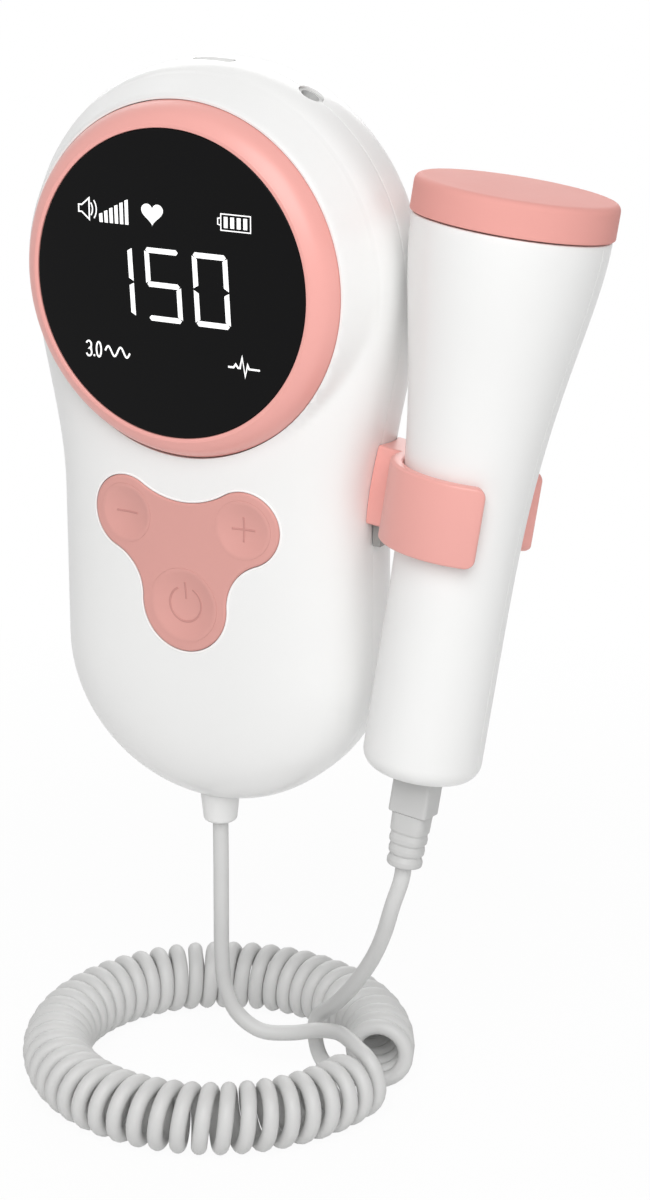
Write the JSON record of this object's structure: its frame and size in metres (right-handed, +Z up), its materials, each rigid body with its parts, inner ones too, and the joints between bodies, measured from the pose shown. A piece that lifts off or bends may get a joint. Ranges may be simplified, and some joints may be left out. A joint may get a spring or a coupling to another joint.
{
  "type": "fetal doppler",
  "caption": "Pocket fetal heart doppler: pebble-shaped display unit with round screen and soft keypad, cone-headed probe held in a side clip, joined by a curly cord.",
  "frame": {"origin": "Centre of the flat rear face of the display unit's housing, halfway up the housing.", "axes": "+Z is up, along the display unit's length. The rear face looks along +Y and the display along -Y. +X is the side that carries the probe in its clip."},
  "size_m": [0.1121, 0.0756, 0.1961],
  "materials": {
    "white_plastic": "smooth gloss white moulding",
    "pink_plastic": "satin pink moulding",
    "pink_rubber": "soft matt pink silicone",
    "black_glass": "polished black lens",
    "grey_rubber": "soft light grey",
    "grey_plastic": "matt grey",
    "black_plastic": "matt black",
    "frame_white": "matt off-white",
    "lcd_grey": "dark polished panel",
    "green_board": "solder-masked board",
    "battery_grey": "shrink-wrapped cell",
    "steel": "plated steel",
    "brass": "plated crystal"
  },
  "bodies": {
    "unit": {"front_shell": "white_plastic", "rear_cover": "white_plastic", "bezel_ring": "pink_plastic", "display_window": "black_glass", "lcd_panel": "lcd_grey", "lcd_frame": "frame_white", "keypad_pad": "pink_rubber", "main_board": "green_board", "switch_minus": "black_plastic", "switch_plus": "black_plastic", "switch_power": "black_plastic", "speaker": "black_plastic", "battery_pack": "battery_grey", "earphone_jack": "black_plastic", "charge_port": "steel", "cord_gland": "grey_rubber", "screw_upper_left": "steel", "screw_upper_right": "steel", "screw_lower_left": "steel", "screw_lower_right": "steel", "clip_rail": "grey_plastic", "probe_clip": "pink_plastic", "cord_unit_lead": "grey_rubber", "cord_coil": "grey_rubber", "cord_probe_lead": "grey_rubber"},
    "plug": {"plug_housing": "grey_rubber", "plug_tongue": "steel", "strain_relief": "grey_rubber"},
    "probe": {"probe_shell_front": "white_plastic", "probe_shell_rear": "white_plastic", "probe_cap": "pink_plastic", "transducer_disc": "brass", "probe_board": "green_board", "probe_socket": "black_plastic"},
    "button_minus": {"button_minus": "pink_rubber"},
    "button_plus": {"button_plus": "pink_rubber"},
    "button_power": {"button_power": "pink_rubber"}
  },
  "joints": [
    {"name": "probe_lift", "type": "slide", "parent": "unit", "child": "plug", "axis": [0.112, 0.1088, 0.9877], "range_m": [0, 0.065]},
    {"name": "plug_pull", "type": "slide", "parent": "plug", "child": "probe", "axis": [0.112, 0.1088, 0.9877], "range_m": [0, 0.0075]},
    {"name": "minus_press", "type": "slide", "parent": "unit", "child": "button_minus", "axis": [0, 1, 0], "range_m": [0, 0.0007], "stiffness_N_per_m": 2000},
    {"name": "plus_press", "type": "slide", "parent": "unit", "child": "button_plus", "axis": [0, 1, 0], "range_m": [0, 0.0007], "stiffness_N_per_m": 2000},
    {"name": "power_press", "type": "slide", "parent": "unit", "child": "button_power", "axis": [0, 1, 0], "range_m": [0, 0.0007], "stiffness_N_per_m": 2000}
  ]
}
